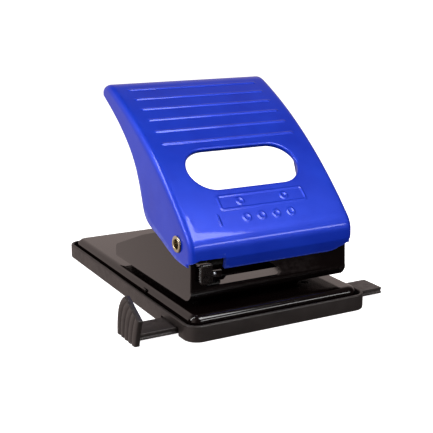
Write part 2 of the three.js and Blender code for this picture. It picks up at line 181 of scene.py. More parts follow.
def makeFinish(name, look):
    material, tree, shader = startMaterial(name, look["shader"])
    where = addNode(tree, "ShaderNodeTexCoord").outputs["Object"]
    stretch = look.get("stretch", (1, 1, 1))
    colour = twoTone(tree, blotches(tree, where, look["blotch"], 0.0, 1.0), look["dark"], look["light"])
    if "rubbed" in look:
        worn = edgeWear(tree, where, look["wearFrom"], look["wearPatch"])
        colour = addNode(tree, "ShaderNodeMix", {
            0: worn, 6: colour, 7: fromHex(look["rubbed"]),
        }, data_type="RGBA").outputs[2]
    tree.links.new(colour, shader.inputs["Base Color"])
    gloss = blotches(tree, where, look["patch"], *look["roughness"], stretch=stretch)
    tree.links.new(gloss, shader.inputs["Roughness"])
    relief = blotches(tree, where, look["relief"], 0.0, 1.0, look.get("detail", 3.0), stretch)
    raiseSurface(tree, shader, relief, look["depth"])
    return material


materials = {name: makeFinish(name, look) for name, look in finishes.items()}
print("materials:", len(materials))


# outlines, in millimetres

def arcPoints(centre, radius, start, end, count):
    angles = [radians(start + (end - start) * i / count) for i in range(count + 1)]
    return [(centre[0] + radius * cos(a), centre[1] + radius * sin(a)) for a in angles]


def bezierPoint(controls, t):
    points = list(controls)
    while len(points) > 1:
        points = [tuple(a + (b - a) * t for a, b in zip(p, q)) for p, q in zip(points, points[1:])]
    return points[0]


def bezierPoints(controls, count, first=False):
    return [bezierPoint(controls, i / count) for i in range(0 if first else 1, count + 1)]


def roundedRect(halfU, halfV, radius, count=8, centre=(0.0, 0.0)):
    u, v = halfU - radius, halfV - radius
    corners = ((u, -v, -90), (u, v, 0), (-u, v, 90), (-u, -v, 180))
    points = []
    for cu, cv, start in corners:
        points += arcPoints((centre[0] + cu, centre[1] + cv), radius, start, start + 90, count)
    return points


def blend(low, high, share):
    return low + (high - low) * share


# meshes

def newPiece(name, vertices, faces, merge=True):
    # vertices in millimetres
    mesh = bpy.data.meshes.new(name)
    mesh.from_pydata([tuple(c * mm for c in v) for v in vertices], [], faces)
    piece = bpy.data.objects.new(name, mesh)
    bpy.context.scene.collection.objects.link(piece)
    if merge:
        editMesh(piece, tidyFaces)
    return piece


def editMesh(piece, change):
    mesh = bmesh.new()
    mesh.from_mesh(piece.data)
    change(mesh)
    mesh.to_mesh(piece.data)
    mesh.free()
    piece.data.update()


def tidyFaces(mesh):
    bmesh.ops.remove_doubles(mesh, verts=mesh.verts, dist=1e-6)
    bmesh.ops.dissolve_degenerate(mesh, edges=mesh.edges, dist=1e-6)
    bmesh.ops.recalc_face_normals(mesh, faces=mesh.faces)


def loft(name, rings, closed=False):
    # skins a row of equal rings; open lofts get a face over each end
    size = len(rings[0])
    vertices = [p for ring in rings for p in ring]
    spans = len(rings) if closed else len(rings) - 1
    faces = []
    for r in range(spans):
        low, high = r * size, (r + 1) % len(rings) * size
        faces += [(low + i, low + (i + 1) % size, high + (i + 1) % size, high + i) for i in range(size)]
    if not closed:
        faces.append(tuple(range(size))[::-1])
        faces.append(tuple(range(len(vertices) - size, len(vertices))))
    return newPiece(name, vertices, faces)


def along(axis, u, v, w):
    # outline axes u, v and the run w, as X, Y, Z
    return {"x": (w, u, v), "y": (u, w, v), "z": (u, v, w)}[axis]


def prism(name, outline, axis, start, end):
    return loft(name, [[along(axis, u, v, w) for u, v in outline] for w in (start, end)])


def block(name, x, y, z):
    outline = [(x[0], y[0]), (x[1], y[0]), (x[1], y[1]), (x[0], y[1])]
    return prism(name, outline, "z", z[0], z[1])


def turned(name, profile, centre, axis="z", sides=48, closed=False):
    # radius and height pairs turned about an axis through centre
    rings = []
    for radius, height in profile:
        ring = arcPoints((centre[0], centre[1]), radius, 0, 360 - 360 / sides, sides - 1)
        rings.append([along(axis, u, v, height) for u, v in ring])
    return loft(name, rings, closed)


def settle(piece):
    # makes the modifiers' result the piece's own mesh
    graph = bpy.context.evaluated_depsgraph_get()
    graph.update()
    mesh = bpy.data.meshes.new_from_object(piece.evaluated_get(graph))
    old = piece.data
    piece.modifiers.clear()
    piece.data = mesh
    bpy.data.meshes.remove(old)
    return piece


def holesAt(nodes, radius, start, end, sides=48):
    # upright round tools on the middles of those nodes
    profile = [(radius, start), (radius, end)]
    return [turned("hole", profile, middleOf(node).xy, sides=sides) for node in nodes]


def combine(piece, tools, operation="DIFFERENCE"):
    for tool in tools:
        step = piece.modifiers.new("cut", "BOOLEAN")
        step.operation = operation
        step.solver = "EXACT"
        step.object = tool
    settle(piece)
    for tool in tools:
        bpy.data.meshes.remove(tool.data)
    return piece


def attach(piece, others):
    # other shells become part of the same mesh
    mesh = bmesh.new()
    mesh.from_mesh(piece.data)
    for other in others:
        mesh.from_mesh(other.data)
        bpy.data.meshes.remove(other.data)
    mesh.to_mesh(piece.data)
    mesh.free()
    return piece


def roundEdges(piece, width, segments=3, angle=35, weighted=True):
    step = piece.modifiers.new("edges", "BEVEL")
    step.width = width * mm
    step.segments = segments
    step.limit_method = "ANGLE"
    step.angle_limit = radians(angle)
    step.use_clamp_overlap = True
    settle(piece)
    return smooth(piece, 60, weighted)


def smooth(piece, angle=40, weighted=False):
    piece.data.shade_smooth()
    piece.data.set_sharp_from_angle(angle=radians(angle))
    if weighted:
        step = piece.modifiers.new("normals", "WEIGHTED_NORMAL")
        step.keep_sharp = True
        settle(piece)
    return piece


def place(piece, body, slotName, material, *nodes):
    piece.data.materials.clear()
    piece.data.materials.append(materials[material])
    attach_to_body(piece, body)
    if nodes:
        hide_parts(*nodes)
    return piece


def boxOf(node):
    # lowest and highest corner of a node, in millimetres
    low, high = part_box(node)
    return low / mm, high / mm


def middleOf(node):
    low, high = boxOf(node)
    return (low + high) / 2


def refine(name, node, width):
    # a sheet or block node with its flat faces made whole and its edges rounded
    piece = bpy.data.objects.new(name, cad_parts[node].data.copy())
    bpy.context.scene.collection.objects.link(piece)

    def wholeFaces(mesh):
        bmesh.ops.remove_doubles(mesh, verts=mesh.verts, dist=1e-6)
        bmesh.ops.dissolve_limit(mesh, angle_limit=radians(0.5), verts=mesh.verts, edges=mesh.edges)

    editMesh(piece, wholeFaces)
    return roundEdges(piece, width)


# geometry node trees

def nodeTree(name, inputs):
    # inputs is a list of name, socket type and default
    tree = bpy.data.node_groups.new(name, "GeometryNodeTree")
    tree.interface.new_socket(name="Geometry", in_out="INPUT", socket_type="NodeSocketGeometry")
    for label, kind, value in inputs:
        socket = tree.interface.new_socket(name=label, in_out="INPUT", socket_type="NodeSocket" + kind)
        if value is not None:
            socket.default_value = value
    tree.interface.new_socket(name="Geometry", in_out="OUTPUT", socket_type="NodeSocketGeometry")
    return tree, addNode(tree, "NodeGroupInput").outputs


def endTree(tree, geometry, material):
    real = addNode(tree, "GeometryNodeRealizeInstances", {"Geometry": geometry})
    shaded = addNode(tree, "GeometryNodeSetMaterial", {
        "Geometry": real.outputs["Geometry"], "Material": materials[material],
    })
    addNode(tree, "NodeGroupOutput", {"Geometry": shaded.outputs["Geometry"]})


def grow(piece, tree, values):
    # runs the tree on a piece and keeps the result as its mesh
    step = piece.modifiers.new("nodes", "NODES")
    step.node_group = tree
    for item in tree.interface.items_tree:
        if item.in_out == "INPUT" and item.name in values:
            step[item.identifier] = values[item.name]
    return settle(piece)


def pointsPiece(name, points):
    return newPiece(name, points, [], merge=False)


# camera, floor and light, in metres

stage = {
    "floorRadius": 12.0, "floorDrop": 0.0002, "floorGlow": 1.0, "floorColour": "#f4f4f4",
    # the tent's tint, its brightness in each direction, and where one gives way to the next
    "backdrop": 1.05, "tint": "#ffeae4", "behind": 0.55, "front": 0.03, "above": 0.06,
    "leftShare": 0.55, "wallFade": (-0.45, 0.35), "roofFade": (0.5, 0.9),
    "aim": (0.0, -0.03, 0.06),
    "lamps": {  # place, size, watts, and what each adds
        "keyBox": ((0.15, -0.52, 0.78), (0.5, 0.4), 5.0, "both"),
        "noseStrip": ((0.3, -0.9, 0.38), (0.7, 0.09), 1.6, "gloss"),
        "fillBox": ((0.1, -0.95, 0.22), (0.8, 0.3), 2.6, "body"),
        "leftBox": ((-0.8, -0.05, 0.4), (0.5, 0.4), 6.0, "body"),
        "edgeStrip": ((-0.7, 0.05, 0.6), (0.09, 1.0), 3.0, "gloss"),
    },
}


def setCamera():
    view = {"azimuth": -28.578, "elevation": 14.516, "lens": 76.91, "place": (-0.276884, -0.524359, 0.197355)}
    a, e = radians(view["azimuth"]), radians(view["elevation"])
    back = Vector((sin(a) * cos(e), -cos(a) * cos(e), sin(e)))
    data = bpy.data.cameras.new("camera")
    data.lens = view["lens"]
    data.sensor_width = 36
    camera = bpy.data.objects.new("camera", data)
    camera.rotation_mode = "QUATERNION"
    camera.location = view["place"]
    camera.rotation_quaternion = (-back).to_track_quat("-Z", "Y")
    bpy.context.scene.collection.objects.link(camera)
    bpy.context.scene.camera = camera


def addSoftbox(name, place, size, power, seen):
    # seen says what a lamp adds: "body" light, "gloss" reflections, or "both"
    data = bpy.data.lights.new(name, "AREA")
    data.shape = "RECTANGLE"
    data.size, data.size_y = size
    data.energy = power
    lamp = bpy.data.objects.new(name, data)
    lamp.visible_diffuse = seen != "gloss"
    lamp.visible_glossy = seen != "body"
    lamp.rotation_mode = "QUATERNION"
    lamp.location = place
    lamp.rotation_quaternion = (Vector(stage["aim"]) - Vector(place)).to_track_quat("-Z", "Y")
    bpy.context.scene.collection.objects.link(lamp)


def setFloor():
    sides = 64
    mesh = bpy.data.meshes.new("floor")
    rim = arcPoints((0, 0), stage["floorRadius"], 0, 360 - 360 / sides, sides - 1)
    mesh.from_pydata([(x, y, 0.0) for x, y in rim], [], [tuple(range(sides))])
    floor = bpy.data.objects.new("floor", mesh)
    floor.location.z = -stage["floorDrop"]
    bpy.context.scene.collection.objects.link(floor)
    paper = startMaterial("floorPaper", {
        "Base Color": fromHex(stage["floorColour"]), "Roughness": 1.0, "Specular IOR Level": 0.0,
        "Emission Color": (1, 1, 1, 1), "Emission Strength": stage["floorGlow"],
    })[0]
    mesh.materials.append(paper)
    floor.visible_glossy = False  # the gloss shows the tent walls, not the table
    floor.visible_diffuse = False


def setTent():
    # a white tent: bright behind and at the left, dim in front and overhead
    world = bpy.data.worlds.new("tent")
    world.use_nodes = True
    bpy.context.scene.world = world
    tree = world.node_tree
    tree.nodes.clear()
    toward = addNode(tree, "ShaderNodeSeparateXYZ", {
        "Vector": addNode(tree, "ShaderNodeTexCoord").outputs["Generated"],
    }).outputs
    depth = calc(tree, "ADD", toward["Y"], calc(tree, "MULTIPLY", toward["X"], -stage["leftShare"]))
    wall = addNode(tree, "ShaderNodeMapRange", {
        "Value": depth, "From Min": stage["wallFade"][0], "From Max": stage["wallFade"][1],
        "To Min": stage["front"], "To Max": stage["behind"],
    }, interpolation_type="SMOOTHSTEP")
    roof = addNode(tree, "ShaderNodeMapRange", {
        "Value": toward["Z"], "From Min": stage["roofFade"][0], "From Max": stage["roofFade"][1],
    }, interpolation_type="SMOOTHSTEP")
    light = addNode(tree, "ShaderNodeMix", {
        0: roof.outputs["Result"], 2: wall.outputs["Result"], 3: stage["above"],
    }, data_type="FLOAT")
    tent = addNode(tree, "ShaderNodeBackground", {
        "Color": fromHex(stage["tint"]), "Strength": light.outputs[0],
    })
    white = addNode(tree, "ShaderNodeBackground", {"Color": (1, 1, 1, 1), "Strength": stage["backdrop"]})
    seen = addNode(tree, "ShaderNodeLightPath").outputs["Is Camera Ray"]
    both = addNode(tree, "ShaderNodeMixShader", {0: seen, 1: tent.outputs[0], 2: white.outputs[0]})
    addNode(tree, "ShaderNodeOutputWorld", {"Surface": both.outputs[0]})


setCamera()
setFloor()
setTent()
for lampName, lamp in stage["lamps"].items():
    addSoftbox(lampName, *lamp)
bpy.context.scene.view_settings.view_transform = "Standard"
print("camera, floor and lights ready")


# the lever

lever = {
    "halfWidth": 55.4, "splay": 0.00032, "front": -88.0, "sheet": 1.2, "bend": 3.8, "bendSteps": 8,
    "archCentre": (147.2, -162.7), "archRadius": 319.6, "archStart": 113.9, "archLength": 122.1,
    "rearCorner": (32.4, 126.0), "rearLip": [(32.2, 129.9), (27, 131)], "rearCurl": [(27, 131), (23.2, 132)],
    "rearSlope": 0.5556,
    "nose": (-87.9, 54.4), "noseSteps": 12, "wallSteps": 10, "wallBottom": 40.0,
    # the free edge of a side wall, in curves from the rear corner down to the front
    "wallCurves": [
        [(32.4, 126.0), (13.5, 115.5), (-8.5, 101.5), (-18.2, 84.4)],
        [(-18.2, 84.4), (-23, 75.4), (-24.8, 68.4), (-27.3, 61.8)],
        [(-27.3, 61.8), (-29.8, 55.4), (-35, 53.4), (-42, 51.3)],
        [(-42, 51.3), (-53.5, 48), (-61.2, 43.2), (-71, 41.1)],
        [(-71, 41.1), (-77, 40.1), (-85.5, 40.0)],
    ],
    "ribFirst": 3.0, "ribPitch": 11.0, "ribCount": 6, "ribHalfLength": 45.2, "ribHalfWidth": 1.5,
    "ribHeight": 0.6,
    "windowX": -0.7, "windowAt": 80.9, "windowHalf": 37.5, "windowRadius": 15.5, "windowMargin": 4.0,
    "windowRows": 15, "windowColumns": 32, "lipRadius": 1.3, "lipDepth": 2.6, "flatBeyond": 48,
    "lipEdge": [(-60, 40.0), (-50, 44.4), (-33.3, 44.0), (-33.0, 36.9), (42.0, 36.9), (46.7, 39.0),
                (51.0, 40.5), (55.4, 46.0)],
    "lipTop": 49.0, "creaseDrop": 5.4, "creaseSoft": 0.5, "lipTuck": 0.29, "notchCorner": (-33.3, -33.0),
    "lipShares": (0.1, 0.25, 0.38, 0.41, 0.44, 0.47, 0.5, 0.53, 0.65, 0.82, 0.95, 1.0),
    "lipColumns": (43.6, 44.4, 45.0, 45.6, 46.1, 46.6, 47.1, 47.8, 49.5),
    "eyeletHole": 4.6, "edge": 0.3,
}

# plain raised marks: a sheet of paper with its two holes, four rings and a short tally line
raisedMarks = {
    "height": 0.42, "halfWidth": 0.75, "halfX": 36, "zone": (100.6, 121.9), "cuts": 4,
    "sheetMiddle": (1.0, 106.3), "sheetHalf": (27.5, 3.2), "sheetCorner": 1.4, "holeAt": 15.0, "hole": 2.0,
    "ringsAt": (-14.0, -4.0, 6.0, 16.0), "ringLine": 117.8, "ring": 2.1,
    "tallyAt": (-32.2, 117.5), "tallyHalf": 3.0,
}


def lipDepth(drop):
    # how far the lip tucks in, that far under its top: straight down, then inwards from a soft crease
    past = drop - lever["creaseDrop"]
    soft = lever["creaseSoft"]
    if past < -soft:
        return 0.0
    return lever["lipTuck"] * (past if past > soft else (past + soft) ** 2 / (4 * soft))


def archPoint(distance, depth=0.0):
    angle = radians(lever["archStart"]) + distance / lever["archRadius"]
    radius = lever["archRadius"] - depth
    cy, cz = lever["archCentre"]
    return cy + radius * cos(angle), cz + radius * sin(angle), cos(angle), sin(angle)


def betweenPoints(table, x):
    for (x0, y0), (x1, y1) in zip(table, table[1:]):
        if x <= x1:
            return blend(y0, y1, (x - x0) / (x1 - x0))
    return table[-1][1]


def softHump(distance, halfWidth):
    # 1 on the middle line, falling smoothly to 0 at halfWidth
    return 0.5 + 0.5 * cos(pi * min(1.0, abs(distance) / halfWidth))


def ribRise(x, s):
    rise = 0.0
    for i in range(lever["ribCount"]):
        across = s - lever["ribFirst"] - i * lever["ribPitch"]
        beyond = max(0.0, abs(x) - lever["ribHalfLength"])
        rise = max(rise, softHump(hypot(across, beyond), lever["ribHalfWidth"]))
    return rise * lever["ribHeight"]


def markRise(x, s):
    # distances to the middle lines of all marks, of which the nearest counts
    look = raisedMarks
    u, v = x - look["sheetMiddle"][0], s - look["sheetMiddle"][1]
    overU, overV = abs(u) - look["sheetHalf"][0], abs(v) - look["sheetHalf"][1]
    toSheet = hypot(max(0.0, overU), max(0.0, overV)) or max(overU, overV)
    lines = [toSheet - look["sheetCorner"], hypot(abs(u) - look["holeAt"], v) - look["hole"]]
    lines += [hypot(x - ringX, s - look["ringLine"]) - look["ring"] for ringX in look["ringsAt"]]
    tallyX, tallyS = look["tallyAt"]
    lines += [hypot(x - tallyX, max(0.0, abs(s - tallyS) - look["tallyHalf"]))]
    return look["height"] * max(softHump(line, look["halfWidth"]) for line in lines)


def leverRows():
    rear = bezierPoints([lever["rearCorner"], *lever["rearLip"]], 8, first=True)
    rear += bezierPoints([*lever["rearCurl"], archPoint(0)[:2]], 8)[:-1]
    points = [(y, z, None) for y, z in rear]
    # distances along the arch: close together over each rib, wider between them
    runs = {0.0}
    for i in range(lever["ribCount"]):
        middle = lever["ribFirst"] + i * lever["ribPitch"]
        runs |= {middle + k * 0.3 for k in range(-6, 7)} | {middle + 3.7, middle + 5.5, middle + 7.3}
    half = lever["windowRadius"] + lever["windowMargin"]
    first, last = lever["windowAt"] - half, lever["windowAt"] + half
    runs = {s for s in runs if 0 <= s < first}
    runs |= {first + 2 * half * i / lever["windowRows"] for i in range(lever["windowRows"] + 1)}
    runs |= {last + (lever["archLength"] - last) * i / 8 for i in range(1, 9)}
    points += [(*archPoint(s)[:2], s) for s in sorted(runs)]
    bow = [archPoint(lever["archLength"])[:2], lever["nose"], (lever["front"], lever["lipTop"])]
    points += [(y, z, None) for y, z in bezierPoints(bow, lever["noseSteps"])]
    rows = []
    for i, (y, z, s) in enumerate(points):
        before, after = points[max(i - 1, 0)], points[min(i + 1, len(points) - 1)]
        ty, tz = after[0] - before[0], after[1] - before[1]
        size = hypot(ty, tz)
        rows.append({"y": y, "z": z, "ny": tz / size, "nz": -ty / size, "s": s})
    rows[-1].update({"ny": -1.0, "nz": 0.0})
    return rows + [{"share": share} for share in lever["lipShares"]]


def leverColumns():
    left = lever["windowX"] - lever["windowHalf"] - lever["windowMargin"]
    right = lever["windowX"] + lever["windowHalf"] + lever["windowMargin"]
    count = lever["windowColumns"]
    inner = [left + (right - left) * i / count for i in range(count + 1)]
    nearest = min(range(count + 1), key=lambda i: abs(inner[i] - lever["notchCorner"][0]))
    inner[nearest:nearest + 1] = lever["notchCorner"]  # two columns close together keep the notch square
    tops = sorted(set(inner) | {side * x for side in (-1, 1) for x in lever["lipColumns"]})
    steps = lever["bendSteps"]
    bends = [90 * i / steps for i in range(steps + 1)]
    walls = [i / lever["wallSteps"] for i in range(1, lever["wallSteps"] + 1)]
    columns = [("wall", -1, share) for share in reversed(walls)] + [("bend", -1, a) for a in reversed(bends)]
    columns += [("top", 1, x) for x in tops]
    columns += [("bend", 1, a) for a in bends] + [("wall", 1, share) for share in walls]
    return columns, left, right


def leverPoint(row, kind, side, value):
    # a point of the lever's outer face, before its walls lean outwards
    flat = lever["halfWidth"] - lever["bend"]
    turn = radians(value) if kind == "bend" else (pi / 2 if kind == "wall" else 0.0)
    x = value if kind == "top" else side * (flat + lever["bend"] * sin(turn))
    if "share" in row:
        drop = row["share"] * (lever["lipTop"] - betweenPoints(lever["lipEdge"], x))
        y, z = lever["front"] + lipDepth(drop), lever["lipTop"] - drop
        ny, nz = -1.0, 0.0
    else:
        y, z, ny, nz = row["y"], row["z"], row["ny"], row["nz"]
    if kind == "top":
        rise = ribRise(x, row["s"]) if row.get("s") is not None else 0.0
        return x, y + rise * ny, z + rise * nz
    inward = lever["bend"] * (1 - cos(turn))
    return x, y - inward * ny, z - inward * nz


def wallEdge(first, last):
    points = [p for curve in lever["wallCurves"] for p in bezierPoints(curve, 40)]
    return [first] + [p for p in points if last[0] < p[0] < first[0]] + [(last[0], lever["wallBottom"])]


def alongPath(points, share):
    lengths = [hypot(b[0] - a[0], b[1] - a[1]) for a, b in zip(points, points[1:])]
    left = share * sum(lengths)
    for (a, b), length in zip(zip(points, points[1:]), lengths):
        if left <= length:
            return tuple(blend(p, q, left / length) for p, q in zip(a, b))
        left -= length
    return points[-1]


def leverShell():
    rows = leverRows()
    columns, left, right = leverColumns()
    grid = [[None] * len(columns) for _ in rows]
    for r, row in enumerate(rows):
        for c, (kind, side, value) in enumerate(columns):
            if kind != "wall":
                grid[r][c] = leverPoint(row, kind, side, value)
    # the rear end of each bend follows the wall's free edge
    cornerY, cornerZ = lever["rearCorner"]
    for c, (kind, _, _) in enumerate(columns):
        if kind == "bend":
            x, y, _ = grid[0][c]
            grid[0][c] = (x, y, cornerZ - lever["rearSlope"] * (cornerY - y))
    steps = lever["wallSteps"]
    for seam, outward in ((steps, -1), (len(columns) - steps - 1, 1)):
        seamLine = [(grid[r][seam][1], grid[r][seam][2]) for r in range(len(rows))]
        edge = wallEdge(seamLine[0], seamLine[-1])
        runs = [0.0]
        for a, b in zip(seamLine, seamLine[1:-1]):
            runs.append(runs[-1] + hypot(b[0] - a[0], b[1] - a[1]))
        for r in range(len(rows)):
            free = alongPath(edge, runs[r] / runs[-1]) if r < len(rows) - 1 else seamLine[-1]
            for k in range(1, steps + 1):
                y, z = (blend(p, q, k / steps) for p, q in zip(seamLine[r], free))
                grid[r][seam + outward * k] = (grid[r][seam][0], y, z)

    def leaning(point, c):
        # only the walls and bends lean; pressed features on the top keep their places
        x, y, z = point
        kind, _, value = columns[c]
        if kind == "top" and abs(value) < lever["flatBeyond"]:
            return point
        return x * (1 + lever["splay"] * (y - lever["front"])), y, z

    wide = len(columns)
    vertices = [leaning(grid[r][c], c) for r in range(len(rows)) for c in range(wide)]
    half = lever["windowRadius"] + lever["windowMargin"] + 0.01
    near = [i for i, row in enumerate(rows) if row.get("s") and abs(row["s"] - lever["windowAt"]) < half]
    firstRow, lastRow = near[0], near[-1]
    tops = [i for i, column in enumerate(columns) if column[0] == "top"]
    firstColumn = min(tops, key=lambda i: abs(columns[i][2] - left))
    lastColumn = min(tops, key=lambda i: abs(columns[i][2] - right))
    faces = []
    for r in range(len(rows) - 1):
        for c in range(wide - 1):
            if firstRow <= r < lastRow and firstColumn <= c < lastColumn:
                continue
            faces.append((r * wide + c, (r + 1) * wide + c, (r + 1) * wide + c + 1, r * wide + c + 1))
    ring = [(firstRow, c) for c in range(firstColumn, lastColumn)]
    ring += [(r, lastColumn) for r in range(firstRow, lastRow)]
    ring += [(lastRow, c) for c in range(lastColumn, firstColumn, -1)]
    ring += [(r, firstColumn) for r in range(lastRow, firstRow, -1)]
    rollWindow(vertices, faces, [(r * wide + c, columns[c][2], rows[r]["s"]) for r, c in ring])
    shell = newPiece("lever_shell", vertices, faces, merge=False)
    editMesh(shell, pressMarks)
    sheet = shell.modifiers.new("sheet", "SOLIDIFY")
    sheet.thickness = lever["sheet"] * mm
    sheet.offset = -1
    settle(shell)
    pivot = middleOf("pivot_eyelet_left")
    combine(shell, [turned("hole", [(lever["eyeletHole"], -70), (lever["eyeletHole"], 70)], pivot.yz, "x")])
    roundEdges(shell, lever["edge"], 2, 62, weighted=False)
    return place(shell, "lever", "blue_paint", "blueEnamel", "handle")


def rollWindow(vertices, faces, ring):
    # rings run from the grid's edge to the oblong and over its rolled lip
    radius, lip = lever["windowRadius"], lever["lipRadius"]
    offsets = [("ring", 0.35), ("ring", 0.7), ("ring", 1.0)]
    offsets += [("lip", 90 * i / 6) for i in range(1, 7)] + [("drop", lever["lipDepth"])]
    previous = [number for number, _, _ in ring]
    reach = lever["windowHalf"] - radius
    for kind, amount in offsets:
        current = []
        for _, x, s in ring:
            middleX = lever["windowX"] + max(-reach, min(reach, x - lever["windowX"]))
            dx, ds = x - middleX, s - lever["windowAt"]
            far = hypot(dx, ds)
            turn = radians(amount) if kind == "lip" else (pi / 2 if kind == "drop" else 0.0)
            out = radius + lip - lip * sin(turn)
            if kind == "ring":
                out = blend(far, out, amount)
            depth = amount if kind == "drop" else lip * (1 - cos(turn))
            y, z = archPoint(lever["windowAt"] + ds / far * out, depth)[:2]
            vertices.append((middleX + dx / far * out, y, z))
            current.append(len(vertices) - 1)
        size = len(ring)
        for i in range(size):
            j = (i + 1) % size
            faces.append((previous[i], current[i], current[j], previous[j]))
        previous = current


def pressMarks(mesh):
    # a finer grid below the window takes the raised marks
    bmesh.ops.remove_doubles(mesh, verts=mesh.verts, dist=1e-6)
    centre, start = Vector(lever["archCentre"]), radians(lever["archStart"])
    halfX, (zoneStart, zoneEnd) = raisedMarks["halfX"], raisedMarks["zone"]

    def onArch(point):
        arm = Vector((point.y / mm, point.z / mm)) - centre
        turn = Vector((cos(start), sin(start))).angle_signed(arm)
        return point.x / mm, -turn * lever["archRadius"], arm.length

    def inZone(vertex, margin=0.0):
        x, s, radius = onArch(vertex.co)
        inside = abs(x) < halfX and zoneStart - margin < s < zoneEnd + margin
        return inside and abs(radius - lever["archRadius"]) < 0.05

    zone = [f for f in mesh.faces if all(inZone(v, 0.4) for v in f.verts)]
    edges = list({e for f in zone for e in f.edges})
    bmesh.ops.subdivide_edges(mesh, edges=edges, cuts=raisedMarks["cuts"], use_grid_fill=True)
    for vertex in mesh.verts:
        if inZone(vertex):
            x, s, _ = onArch(vertex.co)
            y, z = archPoint(s, -markRise(x, s))[:2]
            vertex.co = Vector((x, y, z)) * mm


leverShell()
print("lever shell done")


def pressureBar():
    look = {"edge": 0.35}
    piece = refine("pressure_bar_web", "pressure_bar", look["edge"])
    return place(piece, "lever", "black_paint", "blackEnamel", "pressure_bar")


def pivotEyelets():
    # hollow rivets: a thin tube rolled over into a rounded ring at each end
    look = {"bore": 2.9, "shank": 4.4, "flange": 5.0, "height": 0.8}
    bore, shank, flange, height = look["bore"], look["shank"], look["flange"], look["height"]
    roll = (flange - bore) / 2
    ring = arcPoints((bore + roll, 0), roll, 180, 0, 12)
    for side, name in ((-1, "left"), (1, "right")):
        node = "pivot_eyelet_" + name
        low, high = boxOf(node)
        inner, outer = (low.x, high.x) if side > 0 else (high.x, low.x)
        outerSeat, innerSeat = outer - side * height, inner + side * height
        profile = [(r, outerSeat + side * h * height / roll) for r, h in ring]
        profile += [(shank, outerSeat), (shank, innerSeat)]
        profile += [(r, innerSeat - side * h * height / roll) for r, h in reversed(ring)]
        piece = turned("eyelet_" + name, profile, middleOf(node).yz, "x", 64, closed=True)
        place(smooth(piece, 50), "lever", "nickel", "nickelPlate", node)


pressureBar()
pivotEyelets()


# tray, rail and base

def chipTray():
    look = {
        "corner": 9.0, "wall": 2.0, "floor": 1.6, "slotFront": -83.5, "slotBack": -61.2, "slotTop": 5.5,
        "roof": 1.5, "keeperX": 35.0, "keeperHalf": 4.0, "keeperTop": 0.7, "edge": 0.3,
    }
    halfX, halfY, height = boxOf("chip_tray")[1]
    inset = [(1.2, 0.0), (0.7, 0.12), (0.25, 0.45), (0.0, 1.1), (0.0, height - 0.8), (0.2, height - 0.25),
             (0.6, height), (look["wall"] - 0.4, height), (look["wall"] - 0.05, height - 0.3),
             (look["wall"], height - 0.8), (look["wall"], look["floor"])]
    rings = []
    for step, z in inset:
        outline = roundedRect(halfX - step, halfY - step, look["corner"] - step, 12)
        rings.append([(x, y, z) for x, y in outline])
    tray = loft("tray_moulding", rings)
    front, back = look["slotFront"], look["slotBack"]
    inner = halfX - look["wall"] / 2
    roof = block("roof", (-inner, inner), (front - look["roof"], back + look["roof"]),
                 (look["floor"] / 2, look["slotTop"] + look["roof"]))
    combine(tray, [roof], "UNION")
    slot = block("slot", (-halfX - 1, halfX + 1), (front, back), (-1, look["slotTop"]))
    combine(tray, [slot])
    keepers = [block("keeper", (x - look["keeperHalf"], x + look["keeperHalf"]), (front - 1, back + 1),
                     (0, look["keeperTop"])) for x in (-look["keeperX"], look["keeperX"])]
    combine(tray, keepers, "UNION")
    roundEdges(tray, look["edge"], 2, 50)
    return place(tray, "tray", "black_plastic", "mouldedAbs", "chip_tray")


def paperRail():
    # a ribbed slide with a fluted fan-shaped stop at its left end
    look = {
        "grooveLow": 2.3, "grooveHigh": 3.7, "grooveDepth": 0.6, "flutes": 5, "fluteDepth": 0.85,
        "thickness": 3.4, "across": 60, "up": 26,
        "rear": [(-61.5, 0.3), (-61.5, 9.5), (-63.2, 21.6), (-74.1, 26.1)],
        "front": [(-86.9, 0.3), (-87.9, 5.8), (-89.7, 11.4), (-92.2, 16.9)],
        "slideFront": -81.0, "slideBack": -63.0, "slideBottom": 1.0, "slideTop": 5.0,
    }
    low, high = boxOf("paper_rail")
    y0, y1, z0, z1 = (look[key] for key in ("slideFront", "slideBack", "slideBottom", "slideTop"))
    deep = look["grooveDepth"]
    section = [(y0, z0), (y1, z0), (y1, look["grooveLow"]), (y1 - deep, look["grooveLow"]),
               (y1 - deep, look["grooveHigh"]), (y1, look["grooveHigh"]), (y1, z1), (y0, z1),
               (y0, look["grooveHigh"]), (y0 + deep, look["grooveHigh"]), (y0 + deep, look["grooveLow"]),
               (y0, look["grooveLow"])]
    slide = prism("rail_slide_bar", section, "x", low.x + 2, high.x)
    roundEdges(slide, 0.3, 3)
    across, up = look["across"], look["up"]
    outer, inner = [], []
    for i in range(across + 1):
        share = i / across
        controls = [tuple(blend(a, b, share) for a, b in zip(p, q))
                    for p, q in zip(look["rear"], look["front"])]
        dip = look["fluteDepth"] * (1 - abs(sin(pi * look["flutes"] * share)) ** 0.5)
        for k in range(up + 1):
            y, z = bezierPoint(controls, k / up)
            outer.append((low.x + dip, y, z))
            inner.append((low.x + look["thickness"], y, z))
    size = len(outer)

    def cell(i, k):
        return i * (up + 1) + k

    faces = []
    for i in range(across):
        for k in range(up):
            quad = (cell(i, k), cell(i + 1, k), cell(i + 1, k + 1), cell(i, k + 1))
            faces += [quad, tuple(size + v for v in reversed(quad))]
    rim = [cell(i, 0) for i in range(across)] + [cell(across, k) for k in range(up)]
    rim += [cell(i, up) for i in range(across, 0, -1)] + [cell(0, k) for k in range(up, 0, -1)]
    faces += [(a, size + a, size + b, b) for a, b in zip(rim, rim[1:] + rim[:1])]
    stop = newPiece("stop", outer + inner, faces)
    roundEdges(stop, 0.25, 2, 62, weighted=False)
    attach(slide, [stop])
    return place(slide, "rail", "black_plastic", "mouldedAbs", "paper_rail")


